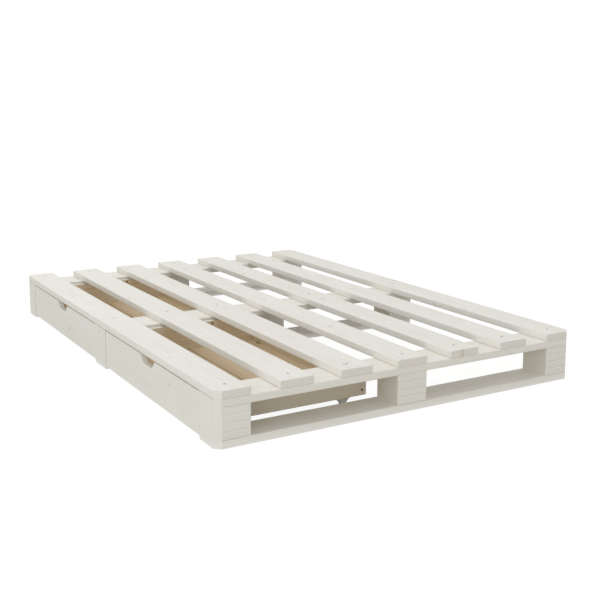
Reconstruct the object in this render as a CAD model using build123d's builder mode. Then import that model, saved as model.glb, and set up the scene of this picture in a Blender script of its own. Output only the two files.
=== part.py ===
from build123d import *
import os

os.makedirs("parts", exist_ok=True)

# Low pallet bed of solid pine, with two roll-out drawers under its left side. All sizes in millimetres.
# +X runs across the bed, away from the drawers. +Y runs towards the head end. +Z is up.
# The origin is on the floor, under the middle of the bed.

# The bed as a whole.
bed_width = 1400
bed_length = 2000

# Boards. All are planed to one thickness, and their long edges are rounded.
board_thickness = 25
board_edge_radius = 3
slat_width = 115
slat_count = 7
slat_end_chamfer = 1
cross_board_width = 140

# Legs. Each is a bottom board, a block and a cross board, closed at the bed's side by an upright cover.
leg_width = 115
centre_block_width = 115
block_height = 100
block_edge_radius = 4
groove_count = 3
groove_depth = 3
cover_thickness = 21
cover_edge_chamfer = 1

# Drawer fronts, which fill the side between the covers.
front_thickness = 19
front_stop_gap = 0.5
front_side_gap = 2.5
front_top_gap = 4
front_floor_gap = 9
front_edge_radius = 1.5
handle_width = 132
handle_floor_width = 72
handle_depth = 28
handle_radius = 9

# Drawer boxes, which are doweled to the fronts and run between the cross boards.
box_depth = 597
box_end_gap = 4
box_top_gap = 11
panel_thickness = 18
panel_edge_chamfer = 0.8
back_inset = 7
bottom_thickness = 8
bottom_lift = 7
bottom_groove_play = 0.3
bottom_seam = 4
bottom_lap = 14

# Casters, two under the edge of each side panel.
wheel_diameter = 22
wheel_width = 10
wheel_edge_radius = 1.5
wheel_rim_thickness = 2.5
wheel_hub_diameter = 8
wheel_web_recess = 2.5
wheel_crown_gap = 3
wheel_side_gap = 0.7
axle_diameter = 4
axle_play = 0.08
axle_head_diameter = 6.4
axle_head_thickness = 1
bracket_thickness = 2
bracket_length = 52
bracket_corner_radius = 4
ear_length = 42
ear_thickness = 1.5
ear_foot_radius = 7
caster_end_inset = 87.5

# Fasteners. A hole is larger than its screw or dowel by the play, all round.
fastener_play = 0.1
head_recess = 0.5
head_rim = 0.6
driver_width = 1
driver_depth = 1.8
slat_screw_shank = 4.5
slat_screw_head = 9
slat_screw_tip_cover = 4.5
slat_screw_inset = 60
block_screw_shank = 5
block_screw_head = 10
block_screw_bite = 45
block_screw_spread = 25
panel_screw_shank = 4
panel_screw_head = 8
panel_screw_length = 45
panel_screw_edge = 18
caster_screw_shank = 3
caster_screw_head = 5.6
caster_screw_head_height = 1.8
caster_screw_length = 16
caster_screw_spacing = 38
dowel_diameter = 8
dowel_length = 30
dowel_in_front = 11
dowel_edge = 22

# What follows from those sizes, for the frame.
half_width = bed_width / 2
half_length = bed_length / 2
frame_end = half_width - cover_thickness
block_bottom = board_thickness
block_top = block_bottom + block_height
slat_underside = block_top + board_thickness
bed_top = slat_underside + board_thickness
slat_pitch = (bed_width - slat_width) / (slat_count - 1)
slat_centres = [slat_pitch * (place - (slat_count - 1) / 2) for place in range(slat_count)]
slat_screw_length = 2 * board_thickness - head_recess - slat_screw_tip_cover
block_screw_length = board_thickness - head_recess + block_screw_bite

# Each row of legs: its name, the way its outer face looks along Y, and the middles of its legs, cross board
# and slat screws.
leg_offset = half_length - leg_width / 2
cross_offset = half_length - cross_board_width / 2
slat_screw_offset = half_length - slat_screw_inset
leg_rows = [
    ("foot", -1, -leg_offset, -cross_offset, -slat_screw_offset),
    ("middle", 0, 0, 0, 0),
    ("head", 1, leg_offset, cross_offset, slat_screw_offset),
]

# Each block in a row: its name, its middle and its width. An outer block is thinner by its cover.
outer_block_width = leg_width - cover_thickness
outer_block_centre = frame_end - outer_block_width / 2
block_columns = [
    ("left", -outer_block_centre, outer_block_width),
    ("centre", 0, centre_block_width),
    ("right", outer_block_centre, outer_block_width),
]

# What follows for the drawers. Their heights are worked up from the wheels and down from the slats.
panel_bottom = wheel_diameter + wheel_crown_gap + bracket_thickness
bracket_underside = panel_bottom - bracket_thickness
bottom_underside = panel_bottom + bottom_lift
bottom_top = bottom_underside + bottom_thickness
bottom_groove_depth = panel_thickness / 3
panel_top = slat_underside - box_top_gap
front_back_face = -frame_end - front_stop_gap
front_bottom = front_floor_gap
front_top = slat_underside - front_top_gap
box_end = front_back_face + box_depth
back_inner_face = box_end - back_inset - panel_thickness
seam_centre = (front_back_face + box_end) / 2
leg_inner_face = half_length - leg_width
row_width = max(leg_width, cross_board_width)
box_outer = half_length - row_width - box_end_gap
box_inner = row_width / 2 + box_end_gap
ear_gap = wheel_width + 2 * wheel_side_gap

# Each drawer: its name and the side of the bed's middle that it lies on.
drawers = [("foot_drawer", -1), ("head_drawer", 1)]

# Each side panel: its name, how far its outer face is from the bed's middle, and the way its inner face
# looks.
side_panels = [("outer_side", box_outer, -1), ("inner_side", box_inner, 1)]


# Screws and their holes


def countersunk_profile(shank, head, length, growth, rise):
    """Half the outline of a countersunk screw, head up, grown all round and raised above its head."""
    neck = -head_rim - (head - shank) / 2
    with BuildSketch(Plane.XZ) as profile:
        with BuildLine():
            Polyline(
                (0, rise),
                (head / 2 + growth, rise),
                (head / 2 + growth, -head_rim),
                (shank / 2 + growth, neck),
                (shank / 2 + growth, shank - length - growth),
                (0, -length - growth),
                close=True,
            )
        make_face()
    return profile.sketch


def countersunk_screw(shank, head, length):
    """A wood screw with a cross recess, its head's top at the origin and its point down."""
    with BuildPart() as screw:
        add(countersunk_profile(shank, head, length, 0, 0))
        revolve(axis=Axis.Z)
        with BuildSketch():
            Rectangle(head / 2, driver_width)
            Rectangle(driver_width, head / 2)
        extrude(amount=-driver_depth, mode=Mode.SUBTRACT)
    return screw.part


def countersunk_hole(shank, head, length):
    """The space that such a screw needs, open above its sunk head."""
    with BuildPart() as hole:
        add(countersunk_profile(shank, head, length, fastener_play, 2 * head_recess))
        revolve(axis=Axis.Z)
    return hole.part


slat_screw = countersunk_screw(slat_screw_shank, slat_screw_head, slat_screw_length)
slat_screw_hole = countersunk_hole(slat_screw_shank, slat_screw_head, slat_screw_length)
block_screw = countersunk_screw(block_screw_shank, block_screw_head, block_screw_length)
block_screw_hole = countersunk_hole(block_screw_shank, block_screw_head, block_screw_length)
panel_screw = countersunk_screw(panel_screw_shank, panel_screw_head, panel_screw_length)
panel_screw_hole = countersunk_hole(panel_screw_shank, panel_screw_head, panel_screw_length)


def slat_screw_places(row_y):
    """One screw through each slat into the cross board under it."""
    return [Location((x, row_y, bed_top - head_recess)) for x in slat_centres]


def block_screw_places(leg_y, columns, from_above):
    """Two screws into each block, corner to corner. Those from below take the other two corners."""
    height, turn, slant = (slat_underside - head_recess, 0, 1) if from_above else (head_recess, 180, -1)
    return [
        Location((x + step, leg_y + slant * step, height), (turn, 0, 0))
        for _, x, _ in columns
        for step in (-block_screw_spread, block_screw_spread)
    ]


# Slats, laid lengthwise. The outer two carry the corner bevel of the legs below them.


def make_slat(number, x):
    with BuildPart() as slat:
        with BuildSketch(Plane.XY.offset(slat_underside)):
            with Locations((x, 0)):
                Rectangle(slat_width, bed_length)
        extrude(amount=board_thickness)
        if number == 1:
            chamfer(slat.edges().filter_by(Axis.Z).group_by(Axis.X)[0], cover_thickness)
        if number == slat_count:
            chamfer(slat.edges().filter_by(Axis.Z).group_by(Axis.X)[-1], cover_thickness)
        fillet(slat.edges().filter_by(Axis.Y), board_edge_radius)
        top = slat.faces().sort_by(Axis.Z)[-1]
        chamfer(top.edges().filter_by(Axis.X), slat_end_chamfer)
        for _, _, _, _, screw_y in leg_rows:
            with Locations((x, screw_y, bed_top - head_recess)):
                add(slat_screw_hole, mode=Mode.SUBTRACT)
    slat.part.label = f"slat_{number}"
    export_step(slat.part, f"parts/slat_{number}.step")


for number, x in enumerate(slat_centres, start=1):
    make_slat(number, x)


# Cross boards, one over each row of legs, drilled for the slat screws and the block screws.


def make_cross_board(row, leg_y, board_y, screw_y):
    with BuildPart() as board:
        with BuildSketch(Plane.XY.offset(block_top)):
            with Locations((0, board_y)):
                Rectangle(2 * frame_end, cross_board_width)
        extrude(amount=board_thickness)
        fillet(board.edges().filter_by(Axis.X), board_edge_radius)
        with Locations(slat_screw_places(screw_y)):
            add(slat_screw_hole, mode=Mode.SUBTRACT)
        with Locations(block_screw_places(leg_y, block_columns, True)):
            add(block_screw_hole, mode=Mode.SUBTRACT)
    board.part.label = f"{row}_cross_board"
    export_step(board.part, f"parts/{row}_cross_board.step")


for row, _, leg_y, board_y, screw_y in leg_rows:
    make_cross_board(row, leg_y, board_y, screw_y)


# Bottom boards, which stand on the floor and tie the three blocks of each row.


def make_bottom_board(row, leg_y):
    with BuildPart() as board:
        with BuildSketch():
            with Locations((0, leg_y)):
                Rectangle(2 * frame_end, leg_width)
        extrude(amount=board_thickness)
        fillet(board.edges().filter_by(Axis.X), board_edge_radius)
        with Locations(block_screw_places(leg_y, block_columns, False)):
            add(block_screw_hole, mode=Mode.SUBTRACT)
    board.part.label = f"{row}_bottom_board"
    export_step(board.part, f"parts/{row}_bottom_board.step")


for row, _, leg_y, _, _ in leg_rows:
    make_bottom_board(row, leg_y)


# Blocks. Those at the foot and head are grooved across their outer face, to look like stacked boards.


def make_block(row, outer, leg_y, column):
    name, x, width = column
    with BuildPart() as block:
        with BuildSketch(Plane.XY.offset(block_bottom)):
            with Locations((x, leg_y)):
                Rectangle(width, leg_width)
        extrude(amount=block_height)
        if outer:
            outer_edges = block.faces().sort_by(Axis.Y)[0 if outer < 0 else -1].edges()
            upright = outer_edges.filter_by(Axis.Z).sort_by(Axis.X)
            open_edges = {"left": upright[-1:], "centre": upright, "right": upright[:1]}[name]
            fillet(open_edges, block_edge_radius)
            face_y = leg_y + outer * leg_width / 2
            spacing = block_height / (groove_count + 1)
            with BuildSketch(Plane.YZ.offset(x - width / 2)):
                for step in range(groove_count + 2):
                    with Locations((face_y, block_bottom + spacing * step)):
                        Rectangle(groove_depth * 2**0.5, groove_depth * 2**0.5, rotation=45)
            extrude(amount=width, mode=Mode.SUBTRACT)
        with Locations(block_screw_places(leg_y, [column], True)):
            add(block_screw_hole, mode=Mode.SUBTRACT)
        with Locations(block_screw_places(leg_y, [column], False)):
            add(block_screw_hole, mode=Mode.SUBTRACT)
    block.part.label = f"{row}_{name}_block"
    export_step(block.part, f"parts/{row}_{name}_block.step")


for row, outer, leg_y, _, _ in leg_rows:
    for column in block_columns:
        make_block(row, outer, leg_y, column)


# Covers, upright boards glued over the side ends of each row. The corner ones are bevelled right through.


def make_cover(row, outer, leg_y, side_name, side):
    inner_x, outer_x = side * frame_end, side * half_width
    low_y, high_y = leg_y - leg_width / 2, leg_y + leg_width / 2
    low_bevel = cover_thickness if outer < 0 else cover_edge_chamfer
    high_bevel = cover_thickness if outer > 0 else cover_edge_chamfer
    low_x = outer_x - side * low_bevel
    high_x = outer_x - side * high_bevel
    outline = [(inner_x, low_y), (low_x, low_y), (outer_x, low_y + low_bevel), (outer_x, high_y - high_bevel)]
    outline += [(high_x, high_y), (inner_x, high_y)]
    corners = [point for point, after in zip(outline, outline[1:] + outline[:1]) if point != after]
    with BuildPart() as cover:
        with BuildSketch():
            with BuildLine():
                Polyline(*corners, close=True)
            make_face()
        extrude(amount=slat_underside)
    cover.part.label = f"{row}_{side_name}_cover"
    export_step(cover.part, f"parts/{row}_{side_name}_cover.step")


for row, outer, leg_y, _, _ in leg_rows:
    for side_name, side in (("left", -1), ("right", 1)):
        make_cover(row, outer, leg_y, side_name, side)


# Frame screws: one kind holds the slats, the other holds the blocks from above and below.

with BuildPart() as slat_screws:
    for _, _, _, _, screw_y in leg_rows:
        with Locations(slat_screw_places(screw_y)):
            add(slat_screw)
slat_screws.part.label = "slat_screws"
export_step(slat_screws.part, "parts/slat_screws.step")

with BuildPart() as block_screws:
    for _, _, leg_y, _, _ in leg_rows:
        for from_above in (True, False):
            with Locations(block_screw_places(leg_y, block_columns, from_above)):
                add(block_screw)
block_screws.part.label = "block_screws"
export_step(block_screws.part, "parts/block_screws.step")


# Drawer fronts, with a hand notch in the middle of the top edge and blind holes for the dowels.


def dowel_places(side, panels):
    """Dowels from the front end of each side panel into the front, lying along X."""
    start_x = front_back_face - dowel_in_front
    heights = (panel_bottom + dowel_edge, (panel_bottom + panel_top) / 2, panel_top - dowel_edge)
    return [
        Location((start_x, side * (face + inward * panel_thickness / 2), z), (0, 90, 0))
        for _, face, inward in panels
        for z in heights
    ]


with BuildPart() as dowel_hole:
    with Locations((0, 0, -fastener_play)):
        Cylinder(
            dowel_diameter / 2 + fastener_play,
            dowel_length + 2 * fastener_play,
            align=(Align.CENTER, Align.CENTER, Align.MIN),
        )


def make_front(drawer, side):
    near_y, far_y = leg_width / 2 + front_side_gap, leg_inner_face - front_side_gap
    low_y, high_y = sorted((side * near_y, side * far_y))
    middle_y = (low_y + high_y) / 2
    floor_z = front_top - handle_depth
    with BuildPart() as front:
        with BuildSketch(Plane.YZ.offset(front_back_face - front_thickness)) as face:
            with BuildLine():
                Polyline(
                    (low_y, front_bottom),
                    (high_y, front_bottom),
                    (high_y, front_top),
                    (middle_y + handle_width / 2, front_top),
                    (middle_y + handle_floor_width / 2, floor_z),
                    (middle_y - handle_floor_width / 2, floor_z),
                    (middle_y - handle_width / 2, front_top),
                    (low_y, front_top),
                    close=True,
                )
            make_face()
            notch_corners = [corner for corner in face.vertices() if abs(corner.Y - middle_y) < handle_width]
            fillet(notch_corners, handle_radius)
        extrude(amount=front_thickness)
        face_edges = front.faces().sort_by(Axis.X)[0].edges()
        fillet(face_edges, front_edge_radius)
        with Locations(dowel_places(side, side_panels)):
            add(dowel_hole.part, mode=Mode.SUBTRACT)
    front.part.label = f"{drawer}_front"
    export_step(front.part, f"parts/{drawer}_front.step")


for drawer, side in drawers:
    make_front(drawer, side)


# Side panels, grooved inside for the bottom and drilled for the dowels, the back's screws and the
# casters' screws.


def panel_screw_places(side, panels):
    """Two screws through the back end of each side panel into the end grain of the back."""
    x = back_inner_face + panel_thickness / 2
    return [
        Location((x, side * (face + inward * head_recess), z), (90 * side * inward, 0, 0))
        for _, face, inward in panels
        for z in (panel_bottom + panel_screw_edge, panel_top - panel_screw_edge)
    ]


def caster_places(side, panels):
    """The middles of the casters, one near each end of a side panel and under the middle of its edge."""
    return [
        (x, side * (face + inward * panel_thickness / 2))
        for _, face, inward in panels
        for x in (front_back_face + caster_end_inset, box_end - caster_end_inset)
    ]


def caster_screw_places(side, panels):
    """Two screws up through each bracket's plate into the edge of the panel."""
    return [
        Location((x + step, y, bracket_underside))
        for x, y in caster_places(side, panels)
        for step in (-caster_screw_spacing / 2, caster_screw_spacing / 2)
    ]


with BuildPart() as caster_screw_hole:
    with Locations((0, 0, -fastener_play)):
        Cylinder(
            caster_screw_shank / 2 + fastener_play,
            caster_screw_length + 2 * fastener_play,
            align=(Align.CENTER, Align.CENTER, Align.MIN),
        )


def make_side_panel(drawer, side, panel_row):
    panel_name, face, inward = panel_row
    groove_end = back_inner_face + bottom_groove_depth
    with BuildPart() as panel:
        with BuildSketch(Plane.XY.offset(panel_bottom)):
            with Locations(((front_back_face + box_end) / 2, side * (face + inward * panel_thickness / 2))):
                Rectangle(box_depth, panel_thickness)
        extrude(amount=panel_top - panel_bottom)
        chamfer(panel.edges().filter_by(Axis.X), panel_edge_chamfer)
        with BuildSketch(Plane.XY.offset(bottom_underside)):
            with Locations(((front_back_face + groove_end) / 2, side * (face + inward * panel_thickness))):
                Rectangle(groove_end - front_back_face, 2 * bottom_groove_depth)
        extrude(amount=bottom_thickness + bottom_groove_play, mode=Mode.SUBTRACT)
        with Locations(dowel_places(side, [panel_row])):
            add(dowel_hole.part, mode=Mode.SUBTRACT)
        with Locations(panel_screw_places(side, [panel_row])):
            add(panel_screw_hole, mode=Mode.SUBTRACT)
        with Locations(caster_screw_places(side, [panel_row])):
            add(caster_screw_hole.part, mode=Mode.SUBTRACT)
    panel.part.label = f"{drawer}_{panel_name}"
    export_step(panel.part, f"parts/{drawer}_{panel_name}.step")


for drawer, side in drawers:
    for panel_row in side_panels:
        make_side_panel(drawer, side, panel_row)


# Backs, set in a little from the ends of the side panels and grooved for the bottom.


def make_back(drawer, side):
    inside_length = box_outer - box_inner - 2 * panel_thickness
    middle_y = side * (box_outer + box_inner) / 2
    with BuildPart() as back:
        with BuildSketch(Plane.XY.offset(panel_bottom)):
            with Locations((back_inner_face + panel_thickness / 2, middle_y)):
                Rectangle(panel_thickness, inside_length)
        extrude(amount=panel_top - panel_bottom)
        chamfer(back.edges().filter_by(Axis.Y), panel_edge_chamfer)
        with BuildSketch(Plane.XY.offset(bottom_underside)):
            with Locations((back_inner_face, middle_y)):
                Rectangle(2 * bottom_groove_depth, inside_length)
        extrude(amount=bottom_thickness + bottom_groove_play, mode=Mode.SUBTRACT)
        with Locations(panel_screw_places(side, side_panels)):
            add(panel_screw_hole, mode=Mode.SUBTRACT)
    back.part.label = f"{drawer}_back"
    export_step(back.part, f"parts/{drawer}_back.step")


for drawer, side in drawers:
    make_back(drawer, side)


# Bottoms, in two halves that lap in the middle and leave an open seam above the lap.


def make_bottom(drawer, side, half_name, outline):
    in_panel = panel_thickness - bottom_groove_depth + bottom_groove_play
    low_y, high_y = sorted((side * (box_inner + in_panel), side * (box_outer - in_panel)))
    with BuildPart() as bottom:
        with BuildSketch(Plane.XZ.offset(-low_y)):
            with BuildLine():
                Polyline(*outline, close=True)
            make_face()
        extrude(amount=low_y - high_y)
    bottom.part.label = f"{drawer}_{half_name}"
    export_step(bottom.part, f"parts/{drawer}_{half_name}.step")


seam_start, seam_end = seam_centre - bottom_seam / 2, seam_centre + bottom_seam / 2
bottom_middle = (bottom_underside + bottom_top) / 2
lap_end = seam_start + bottom_lap
bottom_end = back_inner_face + bottom_groove_depth - bottom_groove_play
front_half_outline = [
    (front_back_face, bottom_underside),
    (lap_end, bottom_underside),
    (lap_end, bottom_middle),
    (seam_start, bottom_middle),
    (seam_start, bottom_top),
    (front_back_face, bottom_top),
]
back_half_outline = [
    (lap_end + bottom_groove_play, bottom_underside),
    (bottom_end, bottom_underside),
    (bottom_end, bottom_top),
    (seam_end, bottom_top),
    (seam_end, bottom_middle),
    (lap_end + bottom_groove_play, bottom_middle),
]
for drawer, side in drawers:
    make_bottom(drawer, side, "bottom_front", front_half_outline)
    make_bottom(drawer, side, "bottom_back", back_half_outline)


# Dowels and panel screws of each drawer box.

for drawer, side in drawers:
    with BuildPart() as dowels:
        with Locations(dowel_places(side, side_panels)):
            Cylinder(dowel_diameter / 2, dowel_length, align=(Align.CENTER, Align.CENTER, Align.MIN))
    dowels.part.label = f"{drawer}_dowels"
    export_step(dowels.part, f"parts/{drawer}_dowels.step")

    with BuildPart() as panel_screws:
        with Locations(panel_screw_places(side, side_panels)):
            add(panel_screw)
    panel_screws.part.label = f"{drawer}_panel_screws"
    export_step(panel_screws.part, f"parts/{drawer}_panel_screws.step")


# Caster brackets, pressed from sheet steel: a plate with two ears that hold the axle.

with BuildPart() as bracket:
    with BuildSketch(Plane.XY.offset(bracket_underside)):
        RectangleRounded(bracket_length, panel_thickness, bracket_corner_radius)
    extrude(amount=bracket_thickness)
    for ear_y in (ear_gap / 2, -ear_gap / 2 - ear_thickness):
        with BuildSketch(Plane.XZ.offset(-ear_y)):
            with Locations((0, wheel_diameter / 2)):
                Circle(ear_foot_radius)
            with Locations((0, bracket_underside)):
                Rectangle(ear_length, bracket_thickness, align=(Align.CENTER, Align.MIN))
            make_hull()
        extrude(amount=-ear_thickness)
    with Locations(Location((0, 0, wheel_diameter / 2), (90, 0, 0))):
        Cylinder(axle_diameter / 2 + fastener_play, 2 * wheel_width, mode=Mode.SUBTRACT)
    with Locations((0, 0, bracket_underside)):
        with GridLocations(caster_screw_spacing, 0, 2, 1):
            Cylinder(caster_screw_shank / 2 + fastener_play, 4 * bracket_thickness, mode=Mode.SUBTRACT)

for drawer, side in drawers:
    with BuildPart() as brackets:
        with Locations(*caster_places(side, side_panels)):
            add(bracket.part)
    brackets.part.label = f"{drawer}_caster_brackets"
    export_step(brackets.part, f"parts/{drawer}_caster_brackets.step")


# Caster axles, riveted pins with a head outside each ear.

with BuildPart() as axle:
    with BuildSketch(Plane.XY.offset(-ear_gap / 2 - ear_thickness)):
        Circle(axle_diameter / 2)
    extrude(amount=ear_gap + 2 * ear_thickness)
    for start in (-ear_gap / 2 - ear_thickness - axle_head_thickness, ear_gap / 2 + ear_thickness):
        with BuildSketch(Plane.XY.offset(start)):
            Circle(axle_head_diameter / 2)
        extrude(amount=axle_head_thickness)

for drawer, side in drawers:
    with BuildPart() as axles:
        axle_places = [
            Location((x, y, wheel_diameter / 2), (90, 0, 0)) for x, y in caster_places(side, side_panels)
        ]
        with Locations(axle_places):
            add(axle.part)
    axles.part.label = f"{drawer}_caster_axles"
    export_step(axles.part, f"parts/{drawer}_caster_axles.step")


# Caster screws, with a domed head under the bracket's plate.

with BuildPart() as caster_screw:
    with BuildSketch(Plane.XZ):
        with BuildLine():
            head_arc = ThreePointArc(
                (0, -caster_screw_head_height),
                (caster_screw_head * 0.3, -caster_screw_head_height * 0.8),
                (caster_screw_head / 2, 0),
            )
            Polyline(
                head_arc @ 1,
                (caster_screw_shank / 2, 0),
                (caster_screw_shank / 2, caster_screw_length - caster_screw_shank / 2),
                (0, caster_screw_length),
                head_arc @ 0,
            )
        make_face()
    revolve(axis=Axis.Z)

for drawer, side in drawers:
    with BuildPart() as caster_screws:
        with Locations(caster_screw_places(side, side_panels)):
            add(caster_screw.part)
    caster_screws.part.label = f"{drawer}_caster_screws"
    export_step(caster_screws.part, f"parts/{drawer}_caster_screws.step")


# Wheels, moulded with a rim and a hub that stand proud of a thin web, each turning on its own axle.

with BuildPart() as wheel:
    Cylinder(wheel_diameter / 2, wheel_width)
    fillet(wheel.edges(), wheel_edge_radius)
    for face_height, inwards in ((wheel_width / 2, -1), (-wheel_width / 2, 1)):
        with BuildSketch(Plane.XY.offset(face_height)):
            Circle(wheel_diameter / 2 - wheel_rim_thickness)
            Circle(wheel_hub_diameter / 2, mode=Mode.SUBTRACT)
        extrude(amount=inwards * wheel_web_recess, mode=Mode.SUBTRACT)
    Cylinder(axle_diameter / 2 + axle_play, wheel_width, mode=Mode.SUBTRACT)

for drawer, side in drawers:
    for number, (x, y) in enumerate(caster_places(side, side_panels), start=1):
        with BuildPart() as placed_wheel:
            with Locations(Location((x, y, wheel_diameter / 2), (90, 0, 0))):
                add(wheel.part)
        placed_wheel.part.label = f"{drawer}_wheel_{number}"
        export_step(placed_wheel.part, f"parts/{drawer}_wheel_{number}.step")
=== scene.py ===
import bpy
import math
import random
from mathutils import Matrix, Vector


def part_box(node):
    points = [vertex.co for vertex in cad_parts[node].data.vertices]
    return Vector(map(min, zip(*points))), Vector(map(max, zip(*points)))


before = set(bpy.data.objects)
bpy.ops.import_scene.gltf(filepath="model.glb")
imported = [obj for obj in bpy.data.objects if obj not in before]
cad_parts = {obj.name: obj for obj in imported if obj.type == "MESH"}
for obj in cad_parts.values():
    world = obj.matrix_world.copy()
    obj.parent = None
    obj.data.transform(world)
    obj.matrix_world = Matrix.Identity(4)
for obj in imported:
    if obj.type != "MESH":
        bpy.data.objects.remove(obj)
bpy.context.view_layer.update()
bpy.ops.object.select_all(action="DESELECT")


# Camera. It stands off the foot end on the drawer side, about a metre up, and looks
# down the length of the bed with a long lens that is shifted a little, as for furniture.
sensor_width = 36
focal_length = 58.90
lens_shift = -0.0947
camera_place = (-1.8334, -3.3980, 1.0350)
tilt_down = 9
turn_right = 30.195

camera_data = bpy.data.cameras.new("bed_camera")
camera_data.sensor_width = sensor_width
camera_data.lens = focal_length
camera_data.shift_y = lens_shift
camera = bpy.data.objects.new("bed_camera", camera_data)
bpy.context.scene.collection.objects.link(camera)
camera.location = camera_place
camera.rotation_euler = (math.radians(90 - tilt_down), 0, math.radians(-turn_right))
bpy.context.scene.camera = camera
bpy.context.scene.view_settings.view_transform = "Standard"


# Floor. A wide sheet of pale studio floor, which keeps only a trace of the bed's shadow
# and can be looked through from below. It lies a millimetre clear of the boards on it, and
# lets light bounced within 30 mm of it through, so that the boards' undersides aren't black.
def new_finish(name):
    """A new material, and the node tree that its look is built in."""
    material = bpy.data.materials.new(name)
    material.use_nodes = True
    return material, material.node_tree


def feed(tree, socket, source):
    """Join a socket to another one, or set it to a plain value."""
    if isinstance(source, bpy.types.NodeSocket):
        tree.links.new(source, socket)
    else:
        socket.default_value = source


def sums(tree, operation, *sources):
    """One step of arithmetic."""
    node = tree.nodes.new("ShaderNodeMath")
    node.operation = operation
    for socket, source in zip(node.inputs, sources):
        feed(tree, socket, source)
    return node.outputs[0]


def mix_shaders(tree, share, first, second):
    """A shader between first and second."""
    node = tree.nodes.new("ShaderNodeMixShader")
    for socket, source in zip(node.inputs, (share, first, second)):
        tree.links.new(source, socket)
    return node.outputs[0]


floor_radius = 60
floor_drop = 0.001
floor_colour = (0.66, 0.645, 0.60, 1)
glow_strength = 1.14
glow_share = 0.82
close_distance = 0.030

bpy.ops.mesh.primitive_circle_add(
    vertices=64, radius=floor_radius, fill_type="NGON", location=(0, 0, -floor_drop)
)
floor = bpy.context.object
floor.name = "studio_floor"
floor_paint, tree = new_finish("pale_floor")
tree.nodes.clear()
matt = tree.nodes.new("ShaderNodeBsdfDiffuse")
matt.inputs["Color"].default_value = floor_colour
glow = tree.nodes.new("ShaderNodeEmission")
glow.inputs["Strength"].default_value = glow_strength
clear = tree.nodes.new("ShaderNodeBsdfTransparent")
path = tree.nodes.new("ShaderNodeLightPath")
side = tree.nodes.new("ShaderNodeNewGeometry")
out = tree.nodes.new("ShaderNodeOutputMaterial")
seen = path.outputs["Is Camera Ray"]
bright = mix_shaders(tree, sums(tree, "MULTIPLY", seen, glow_share), matt.outputs[0], glow.outputs[0])
close_by = sums(tree, "LESS_THAN", path.outputs["Ray Length"], close_distance)
bounced_close = sums(tree, "GREATER_THAN", close_by, seen)
see_through = sums(tree, "MAXIMUM", side.outputs["Backfacing"], bounced_close)
tree.links.new(mix_shaders(tree, see_through, bright, clear.outputs[0]), out.inputs["Surface"])
floor.data.materials.append(floor_paint)


# Light. A white studio room gives an even light from all round, and is seen as a plain
# white backdrop. Soft panels stand off the near corner and the drawer side, a third hangs
# high beyond the head end, and a fourth over the bed.
room_colour = (0.985, 0.995, 1.0, 1)
room_strength = 0.67
backdrop_colour = (1, 1, 1, 1)
backdrop_strength = 1.0
bed_middle = (0, 0, 0.1)


def glowing_wall(tree, colour, strength):
    """An even light from all round."""
    node = tree.nodes.new("ShaderNodeBackground")
    node.inputs["Color"].default_value = colour
    node.inputs["Strength"].default_value = strength
    return node.outputs[0]


def soft_panel(name, place, width, watts, colour):
    """A square softbox at place that faces the middle of the bed."""
    data = bpy.data.lights.new(name, "AREA")
    data.shape = "SQUARE"
    data.size = width
    data.energy = watts
    data.color = colour
    lamp = bpy.data.objects.new(name, data)
    bpy.context.scene.collection.objects.link(lamp)
    lamp.location = place
    towards = [a - b for a, b in zip(bed_middle, place)]
    flat = math.hypot(towards[0], towards[1])
    tilt = math.atan2(flat, -towards[2])
    lamp.rotation_euler = (tilt, 0, math.atan2(towards[1], towards[0]) - math.pi / 2)


world = bpy.data.worlds.new("white_studio")
bpy.context.scene.world = world
world.use_nodes = True
tree = world.node_tree
tree.nodes.clear()
room = glowing_wall(tree, room_colour, room_strength)
backdrop = glowing_wall(tree, backdrop_colour, backdrop_strength)
seen = tree.nodes.new("ShaderNodeLightPath").outputs["Is Camera Ray"]
out = tree.nodes.new("ShaderNodeOutputWorld")
tree.links.new(mix_shaders(tree, seen, room, backdrop), out.inputs["Surface"])

soft_panel("corner_panel", (-3.5, -5.2, 1.7), width=2.8, watts=38, colour=(0.98, 0.99, 1.0))
soft_panel("side_panel", (-5.0, -0.5, 1.6), width=3.0, watts=29, colour=(0.82, 0.93, 1.0))
soft_panel("head_panel", (0, 5.5, 3.0), width=3.4, watts=27, colour=(1.0, 0.99, 0.96))
soft_panel("top_panel", (-0.2, 0, 5.0), width=3.4, watts=44, colour=(1.0, 0.99, 0.975))


# Slats. Seven planed pine boards, 115 by 25 mm with rounded long edges, screwed down on
# the cross boards. They are glazed white, thin enough for the growth rings and the knots
# to show faintly through it, and the glaze is rubbed thinner along their edges.
SIDEWAYS, LENGTHWISE, UPRIGHT = range(3)


def vectors(tree, operation, *sources):
    """One step of arithmetic on places."""
    node = tree.nodes.new("ShaderNodeVectorMath")
    node.operation = operation
    for socket, source in zip(node.inputs, sources):
        feed(tree, socket, source)
    return node.outputs


def split(tree, place):
    """The three parts of a place."""
    node = tree.nodes.new("ShaderNodeSeparateXYZ")
    tree.links.new(place, node.inputs[0])
    return node.outputs


def measured_from(tree, place, centre):
    """A place as measured from centre."""
    node = tree.nodes.new("ShaderNodeMapping")
    node.inputs["Location"].default_value = [-c for c in centre]
    tree.links.new(place, node.inputs["Vector"])
    return node.outputs[0]


def fade(tree, value, start, end, low=0.0, high=1.0):
    """A smooth change from low to high while value goes from start to end."""
    node = tree.nodes.new("ShaderNodeMapRange")
    node.interpolation_type = "SMOOTHSTEP"
    for socket, source in zip(node.inputs, (value, start, end, low, high)):
        feed(tree, socket, source)
    return node.outputs[0]


def blend_of(tree, share, first, second):
    """A colour between first and second."""
    node = tree.nodes.new("ShaderNodeMix")
    node.data_type = "RGBA"
    for index, source in ((0, share), (6, first), (7, second)):
        feed(tree, node.inputs[index], source)
    return node.outputs[2]


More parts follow.
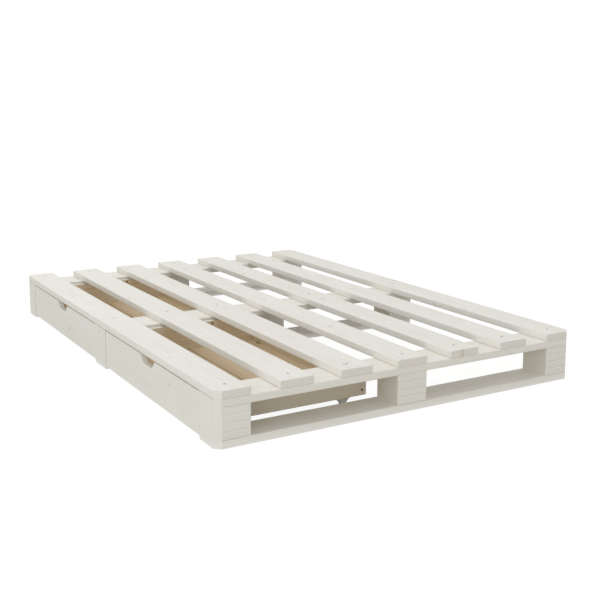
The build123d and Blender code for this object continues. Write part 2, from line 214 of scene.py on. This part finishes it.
def grain_noise(tree, place, scale, shift, detail):
    """Noise from 0 to 1, where scale is its cycles a metre each way."""
    cloud = tree.nodes.new("ShaderNodeTexNoise")
    cloud.inputs["Scale"].default_value = 1.0
    cloud.inputs["Detail"].default_value = detail
    stretched = vectors(tree, "MULTIPLY_ADD", place, scale, shift)["Vector"]
    tree.links.new(stretched, cloud.inputs["Vector"])
    return cloud.outputs[0]


def knots_in(tree, place, shift, knot_share):
    """Knots that stand right through a board, their dark rims, and the swelling round them."""
    cell_width = 0.10
    cell_length = 0.31
    cell_shortening = 0.62
    looseness = 0.85
    smallest_knot = 0.0032
    growth_at_most = 0.0065

    # A board's face is shared out in cells a hand or more apart, with a knot in some of them.
    in_cells = vectors(tree, "MULTIPLY_ADD", place, (1 / cell_width, 1 / cell_length, 0), shift)["Vector"]
    cells = tree.nodes.new("ShaderNodeTexVoronoi")
    cells.voronoi_dimensions = "2D"
    cells.inputs["Scale"].default_value = 1.0
    cells.inputs["Randomness"].default_value = looseness
    tree.links.new(in_cells, cells.inputs["Vector"])
    offset = vectors(tree, "SUBTRACT", in_cells, cells.outputs["Position"])["Vector"]
    offset = vectors(tree, "MULTIPLY", offset, (cell_width, cell_length * cell_shortening, 0))["Vector"]
    from_knot = vectors(tree, "LENGTH", offset)["Value"]
    chances = tree.nodes.new("ShaderNodeSeparateColor")
    tree.links.new(cells.outputs["Color"], chances.inputs[0])
    kept = sums(tree, "LESS_THAN", chances.outputs[0], knot_share)
    knot_radius = sums(tree, "MULTIPLY_ADD", chances.outputs[1], growth_at_most, smallest_knot)

    reach = sums(tree, "DIVIDE", from_knot, knot_radius)
    off_rim = sums(tree, "ABSOLUTE", sums(tree, "SUBTRACT", reach, 1.0))
    knot = sums(tree, "MULTIPLY", fade(tree, reach, 1.05, 0.85), kept)
    rim = sums(tree, "MULTIPLY", fade(tree, off_rim, 0.35, 0.0), kept)
    swell = sums(tree, "MULTIPLY", fade(tree, reach, 4.5, 0.8), kept)
    return knot, rim, swell


def rings_in(tree, place, parts, shift, heart, ring_gap, swell):
    """Late wood of the growth rings, round a heart that wanders a little along the log."""
    heart_across, heart_below = heart
    wander_across = 0.05
    wander_below = 0.09
    waver_in_rings = 1.6
    swell_in_rings = 2.6

    wander = grain_noise(tree, place, (0.9, 0.75, 0.9), shift, detail=1.0)
    waver = grain_noise(tree, place, (14, 2.6, 14), shift, detail=2.0)
    sideways = sums(tree, "ADD", parts[0], heart_across - wander_across / 2)
    sideways = sums(tree, "MULTIPLY_ADD", wander, wander_across, sideways)
    depth = sums(tree, "ADD", parts[2], heart_below - wander_below / 2)
    depth = sums(tree, "MULTIPLY_ADD", wander, wander_below, depth)
    squares = sums(tree, "MULTIPLY_ADD", sideways, sideways, sums(tree, "MULTIPLY", depth, depth))
    count = sums(tree, "DIVIDE", sums(tree, "SQRT", squares), ring_gap)
    count = sums(tree, "MULTIPLY_ADD", waver, waver_in_rings, count)
    count = sums(tree, "MULTIPLY_ADD", swell, swell_in_rings, count)
    year = sums(tree, "FRACT", count)
    return sums(tree, "MULTIPLY", fade(tree, year, 0.25, 0.86), fade(tree, year, 1.0, 0.93))


def edges_of(tree, place, parts, half_sizes, shift):
    """The rubbed edges of a board, and the open grain of its ends."""
    rub_depth = 0.0045

    near = [
        sums(tree, "SUBTRACT", half, sums(tree, "ABSOLUTE", part))
        for half, part in zip(half_sizes, parts)
    ]
    # The middle one of the three gaps is the distance from the nearest edge.
    nearer = sums(tree, "MINIMUM", near[0], near[1])
    farther = sums(tree, "MAXIMUM", near[0], near[1])
    edge_gap = sums(tree, "MAXIMUM", nearer, sums(tree, "MINIMUM", farther, near[2]))
    rub = grain_noise(tree, place, (60, 38, 60), shift, detail=3.0)
    edge_gap = sums(tree, "MULTIPLY_ADD", rub, rub_depth, edge_gap)
    return fade(tree, edge_gap, 0.0058, 0.0030), fade(tree, near[1], 0.0014, 0.0006)


def pine_grain(tree, board, along, ring_gap, knot_share):
    """The wood of one board, sawn from beside the heart of the log: each of its marks from 0 to 1."""
    chance = random.Random(board)
    low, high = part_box(board)
    centre = [(a + b) / 2 for a, b in zip(low, high)]
    half = [(b - a) / 2 for a, b in zip(low, high)]
    across, through = sorted((i for i in range(3) if i != along), key=lambda i: -half[i])
    axes = (across, along, through)
    shift = [chance.uniform(-40, 40) for _ in range(3)]
    heart_across = chance.uniform(-0.55, 0.55) * half[across]
    heart_below = half[through] + chance.uniform(0.022, 0.06)

    # Places on the board are turned to lie across, along and through it, from its middle.
    object_place = tree.nodes.new("ShaderNodeTexCoord").outputs["Object"]
    apart = split(tree, measured_from(tree, object_place, centre))
    parts = [apart[axis] for axis in axes]
    together = tree.nodes.new("ShaderNodeCombineXYZ")
    for socket, part in zip(together.inputs, parts):
        tree.links.new(part, socket)
    place = together.outputs[0]

    knot, rim, swell = knots_in(tree, place, shift, knot_share)
    edge, end = edges_of(tree, place, parts, [half[axis] for axis in axes], shift)
    return {
        "object": object_place,
        "place": place,
        "across": parts[0],
        "ring": rings_in(tree, place, parts, shift, (heart_across, heart_below), ring_gap, swell),
        "fibre": grain_noise(tree, place, (460, 9, 460), shift, detail=3.0),
        "streak": grain_noise(tree, place, (95, 2.2, 95), shift, detail=2.0),
        "patch": grain_noise(tree, place, (9, 2.4, 9), shift, detail=3.0),
        "knot": knot,
        "rim": rim,
        "edge": edge,
        "end": end,
    }


def show_marks(tree, grain, tone, marks):
    """Tone with the board's marks over it, each with its strength and its colour."""
    for mark, (strength, colour) in marks.items():
        tone = blend_of(tree, sums(tree, "MULTIPLY", grain[mark], strength), tone, colour)
    return tone


def glazed_colour(tree, grain):
    """White glaze over pine. The late wood, the knots and the open end grain show through it."""
    thick_glaze = (0.910, 0.884, 0.826, 1)
    thin_glaze = (0.878, 0.848, 0.782, 1)
    late_wood = (0.770, 0.715, 0.605, 1)
    open_fibre = (0.800, 0.765, 0.690, 1)

    tone = blend_of(tree, fade(tree, grain["patch"], 0.25, 0.75), thick_glaze, thin_glaze)
    ring_strength = fade(tree, grain["streak"], 0.30, 0.70, low=0.14, high=0.42)
    tone = blend_of(tree, sums(tree, "MULTIPLY", grain["ring"], ring_strength), tone, late_wood)
    tone = blend_of(tree, fade(tree, grain["fibre"], 0.55, 0.80, high=0.30), tone, open_fibre)
    marks = {
        "edge": (0.30, (0.76, 0.71, 0.62, 1)),
        "end": (0.40, (0.765, 0.725, 0.645, 1)),
        "knot": (0.27, (0.60, 0.49, 0.35, 1)),
        "rim": (0.26, (0.52, 0.39, 0.25, 1)),
    }
    return show_marks(tree, grain, tone, marks)


def add_bump(tree, shader, height, strength, depth):
    """Let a surface catch the light as if it stood up by height."""
    bump = tree.nodes.new("ShaderNodeBump")
    bump.inputs["Strength"].default_value = strength
    bump.inputs["Distance"].default_value = depth
    tree.links.new(height, bump.inputs["Height"])
    tree.links.new(bump.outputs[0], shader.inputs["Normal"])


def finish_wood(tree, grain, colour, roughness, relief):
    """The shader of a planed board, with the rings and the fibre standing slightly proud."""
    ring_rise = 0.55
    fibre_rise = 0.75
    knot_rise = 0.5
    fibre_dullness = 0.22
    ring_shine = 0.06
    relief_depth = 0.0004

    height = sums(tree, "MULTIPLY", grain["fibre"], fibre_rise)
    height = sums(tree, "MULTIPLY_ADD", grain["ring"], ring_rise, height)
    height = sums(tree, "MULTIPLY_ADD", grain["knot"], knot_rise, height)
    dullness = sums(tree, "MULTIPLY_ADD", grain["ring"], -ring_shine, roughness)
    dullness = sums(tree, "MULTIPLY_ADD", grain["fibre"], fibre_dullness, dullness)
    shader = tree.nodes["Principled BSDF"]
    tree.links.new(colour, shader.inputs["Base Color"])
    tree.links.new(dullness, shader.inputs["Roughness"])
    add_bump(tree, shader, height, relief, relief_depth)


def clothe(board, material):
    """Give a CAD node this material alone."""
    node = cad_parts[board]
    node.data.materials.clear()
    node.data.materials.append(material)


def glaze(board, along, ring_gap=0.0040, knot_share=0.42):
    """A board of white glazed pine, whose grain runs along the given axis."""
    material, tree = new_finish("glazed_" + board)
    grain = pine_grain(tree, board, along, ring_gap, knot_share)
    finish_wood(tree, grain, glazed_colour(tree, grain), roughness=0.40, relief=0.30)
    clothe(board, material)


for number in range(1, 8):
    glaze(f"slat_{number}", LENGTHWISE)


# Cross boards and bottom boards. Three cross boards under the slats and three bottom
# boards on the floor, of the same planed and glazed pine, tie the rows of blocks together.
# Their grain runs from side to side.
for row in ("foot", "middle", "head"):
    glaze(f"{row}_cross_board", SIDEWAYS)
    glaze(f"{row}_bottom_board", SIDEWAYS)


# Blocks. Nine solid pine blocks stand between the bottom boards and the cross boards. The
# end ones have three V-grooves across their faces, so that each looks like a stack of boards.
for row in ("foot", "middle", "head"):
    for place in ("left", "centre", "right"):
        glaze(f"{row}_{place}_block", SIDEWAYS, ring_gap=0.0031, knot_share=0.25)


# Covers. Upright boards that close the rows at the sides of the bed, with their grain
# standing. The corner ones take the bed's long corner bevel down to the floor.
for row in ("foot", "middle", "head"):
    for place in ("left", "right"):
        glaze(f"{row}_{place}_cover", UPRIGHT, ring_gap=0.0036, knot_share=0.2)


# Screws of the frame. Countersunk steel wood screws with a zinc coat, driven just under
# the face. The coat has gone dull, with darker clouds in it.
def zinc(name, colour, roughness):
    """Plated or blackened steel, with the cloudy patches and fine scratches of tumbled parts."""
    cloud_darkness = 0.55
    scratch_dullness = 0.30

    material, tree = new_finish(name)
    place = tree.nodes.new("ShaderNodeTexCoord").outputs["Object"]
    cloud = grain_noise(tree, place, scale=(260, 260, 260), shift=(3, 8, 5), detail=3.0)
    scratch = grain_noise(tree, place, scale=(2600, 300, 2600), shift=(1, 2, 9), detail=2.0)
    dark = tuple(cloud_darkness * c for c in colour[:3]) + (1,)
    tone = blend_of(tree, fade(tree, cloud, 0.35, 0.70), colour, dark)
    dullness = sums(tree, "MULTIPLY_ADD", scratch, scratch_dullness, roughness)
    shader = tree.nodes["Principled BSDF"]
    shader.inputs["Metallic"].default_value = 1.0
    tree.links.new(tone, shader.inputs["Base Color"])
    tree.links.new(dullness, shader.inputs["Roughness"])
    add_bump(tree, shader, scratch, strength=0.2, depth=0.0001)
    return material


zinc_screw = zinc("zinc_screw", (0.40, 0.40, 0.38, 1), roughness=0.30)
clothe("slat_screws", zinc_screw)
clothe("block_screws", zinc_screw)


# Drawer fronts. One pine board each, glazed on both faces, with a hand notch cut from the
# top edge and its corners rounded over.
for drawer in ("foot_drawer", "head_drawer"):
    glaze(f"{drawer}_front", LENGTHWISE, knot_share=0.3)


# Drawer boxes. Sides and back of 18 mm pine, doweled and screwed. They are glazed on the
# top edge and left bare inside. The outside has one thin coat of glaze over the bare pine,
# and a brown-grey painted shade on top of that.
def bare_colour(tree, grain, pale, honey, late):
    """Planed pine with no finish: pale to honey wood, darker late wood, and red-brown knots."""
    open_fibre = (0.640, 0.490, 0.320, 1)

    tone = blend_of(tree, fade(tree, grain["patch"], 0.25, 0.75), pale, honey)
    ring_strength = fade(tree, grain["streak"], 0.30, 0.70, low=0.35, high=0.80)
    tone = blend_of(tree, sums(tree, "MULTIPLY", grain["ring"], ring_strength), tone, late)
    tone = blend_of(tree, fade(tree, grain["fibre"], 0.50, 0.80, high=0.45), tone, open_fibre)
    marks = {
        "end": (0.45, (0.520, 0.380, 0.240, 1)),
        "knot": (0.85, (0.200, 0.085, 0.035, 1)),
        "rim": (0.55, (0.110, 0.050, 0.022, 1)),
    }
    return show_marks(tree, grain, tone, marks)


def half_glaze(board, along, bare_axis, bare_way, knot_at=None):
    """A box panel with its inner face bare. bare_axis and bare_way say which way that face looks."""
    pale_wood = (0.880, 0.785, 0.625, 1)
    honey_wood = (0.840, 0.735, 0.565, 1)
    late_wood = (0.720, 0.575, 0.400, 1)
    knot_colour = (0.36, 0.14, 0.05, 1)
    painted_shade_colour = (0.50, 0.44, 0.34, 1)
    bare_share = 0.78
    painted_shade_share = 0.35
    drip_height = 0.0012

    material, tree = new_finish("box_" + board)
    grain = pine_grain(tree, board, along, ring_gap=0.0036, knot_share=0.22)
    white = glazed_colour(tree, grain)
    brown = bare_colour(tree, grain, pale_wood, honey_wood, late_wood)
    if knot_at is not None:
        # One small tight knot, just under the top edge.
        away = vectors(tree, "DISTANCE", grain["object"], knot_at)["Value"]
        brown = blend_of(tree, fade(tree, away, 0.0075, 0.0045, high=0.85), brown, knot_colour)

    # The glaze runs a little over the top edge, down to an uneven line.
    low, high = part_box(board)
    face = (high if bare_way > 0 else low)[bare_axis]
    apart = split(tree, grain["object"])
    drip = grain_noise(tree, grain["place"], scale=(50, 22, 50), shift=(4, 1, 7), detail=3.0)
    run = sums(tree, "MULTIPLY", drip, drip_height)
    below = sums(tree, "ADD", sums(tree, "SUBTRACT", high[2], apart[2]), run)
    under_glaze = fade(tree, below, 0.0012, 0.0020)
    depth = sums(tree, "ABSOLUTE", sums(tree, "SUBTRACT", apart[bare_axis], face))
    inside = sums(tree, "MULTIPLY", fade(tree, depth, 0.0011, 0.0005), under_glaze)
    # The outside is a thin glaze over bare pine, darkened further by a brown-grey painted shade colour.
    thin_glaze_with_painted_shade = blend_of(tree, painted_shade_share, blend_of(tree, bare_share, white, brown), painted_shade_colour)
    outside = blend_of(tree, under_glaze, white, thin_glaze_with_painted_shade)
    finish_wood(tree, grain, blend_of(tree, inside, outside, brown), roughness=0.46, relief=0.30)
    clothe(board, material)


knot_across = -0.280
knot_height = 0.129
foot_knot = (knot_across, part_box("foot_drawer_inner_side")[0][1], knot_height)
head_knot = (knot_across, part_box("head_drawer_outer_side")[0][1], knot_height)
half_glaze("foot_drawer_outer_side", SIDEWAYS, LENGTHWISE, 1)
half_glaze("foot_drawer_inner_side", SIDEWAYS, LENGTHWISE, -1, foot_knot)
half_glaze("head_drawer_inner_side", SIDEWAYS, LENGTHWISE, 1)
half_glaze("head_drawer_outer_side", SIDEWAYS, LENGTHWISE, -1, head_knot)
for drawer in ("foot_drawer", "head_drawer"):
    half_glaze(f"{drawer}_back", LENGTHWISE, SIDEWAYS, -1)


# Drawer bottoms. Two thin sheets of bare glued pine a drawer, which lap in the middle of
# the box and leave an open seam above the lap. Their grain runs the length of the bed.
def leave_bare(board):
    """A bare pine sheet, glued up from strips with a faint joint line between them."""
    pale_wood = (0.820, 0.695, 0.500, 1)
    honey_wood = (0.765, 0.630, 0.435, 1)
    late_wood = (0.640, 0.470, 0.285, 1)
    glue_line = (0.26, 0.16, 0.08, 1)
    strip_width = 0.062

    material, tree = new_finish("bare_" + board)
    grain = pine_grain(tree, board, LENGTHWISE, ring_gap=0.0034, knot_share=0.10)
    colour = bare_colour(tree, grain, pale_wood, honey_wood, late_wood)
    strip = sums(tree, "FRACT", sums(tree, "DIVIDE", grain["across"], strip_width))
    off_middle = sums(tree, "ABSOLUTE", sums(tree, "SUBTRACT", strip, 0.5))
    colour = blend_of(tree, fade(tree, off_middle, 0.485, 0.497, high=0.45), colour, glue_line)
    finish_wood(tree, grain, colour, roughness=0.52, relief=0.35)
    clothe(board, material)


for drawer in ("foot_drawer", "head_drawer"):
    leave_bare(f"{drawer}_bottom_front")
    leave_bare(f"{drawer}_bottom_back")


# Dowels and panel screws. Plain beech dowels hold each front to its box, and black
# screws hold the back.
light_beech = (0.62, 0.44, 0.27, 1)
dark_beech = (0.44, 0.27, 0.14, 1)
beech, tree = new_finish("beech_dowel")
place = tree.nodes.new("ShaderNodeTexCoord").outputs["Object"]
fleck = grain_noise(tree, place, scale=(120, 900, 900), shift=(2, 2, 2), detail=3.0)
tone = blend_of(tree, fade(tree, fleck, 0.35, 0.70), light_beech, dark_beech)
dullness = fade(tree, fleck, 0.3, 0.7, low=0.45, high=0.62)
tree.links.new(tone, tree.nodes["Principled BSDF"].inputs["Base Color"])
tree.links.new(dullness, tree.nodes["Principled BSDF"].inputs["Roughness"])
black_screw = zinc("black_screw", (0.10, 0.085, 0.07, 1), roughness=0.38)
for drawer in ("foot_drawer", "head_drawer"):
    clothe(f"{drawer}_dowels", beech)
    clothe(f"{drawer}_panel_screws", black_screw)


# Casters. Pressed steel forks screwed up into the lower edges of the side panels, zinc
# coated, on steel axles, with small wheels of dark grey plastic that are scuffed to a
# paler grey on the tread.
def wheel_plastic(wheel):
    """Moulded plastic, with a fine spark-eroded grain and a scuffed tread."""
    dark_plastic = (0.150, 0.158, 0.145, 1)
    pale_plastic = (0.190, 0.198, 0.182, 1)
    worn_plastic = (0.30, 0.30, 0.28, 1)
    worn_share = 0.5

    low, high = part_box(wheel)
    centre = [(a + b) / 2 for a, b in zip(low, high)]
    tread = (high[2] - low[2]) / 2
    material, tree = new_finish("plastic_" + wheel)
    object_place = tree.nodes.new("ShaderNodeTexCoord").outputs["Object"]
    place = measured_from(tree, object_place, centre)
    apart = split(tree, place)
    squares = sums(tree, "MULTIPLY", apart[0], apart[0])
    radius = sums(tree, "SQRT", sums(tree, "MULTIPLY_ADD", apart[2], apart[2], squares))
    on_tread = fade(tree, radius, tread - 0.0014, tread - 0.0004)
    scuff = grain_noise(tree, place, scale=(700, 260, 700), shift=(6, 1, 3), detail=3.0)
    worn = sums(tree, "MULTIPLY", on_tread, fade(tree, scuff, 0.35, 0.65))
    tone = blend_of(tree, fade(tree, scuff, 0.3, 0.7), dark_plastic, pale_plastic)
    tone = blend_of(tree, sums(tree, "MULTIPLY", worn, worn_share), tone, worn_plastic)
    dullness = fade(tree, worn, 0.0, 1.0, low=0.42, high=0.68)
    pebble = grain_noise(tree, place, scale=(2200, 2200, 2200), shift=(0, 4, 2), detail=2.0)
    shader = tree.nodes["Principled BSDF"]
    tree.links.new(tone, shader.inputs["Base Color"])
    tree.links.new(dullness, shader.inputs["Roughness"])
    add_bump(tree, shader, pebble, strength=0.25, depth=0.0001)
    clothe(wheel, material)


caster_steel = zinc("caster_steel", (0.80, 0.81, 0.76, 1), roughness=0.42)
for drawer in ("foot_drawer", "head_drawer"):
    for part in ("caster_brackets", "caster_axles", "caster_screws"):
        clothe(f"{drawer}_{part}", caster_steel)
    for number in range(1, 5):
        wheel_plastic(f"{drawer}_wheel_{number}")
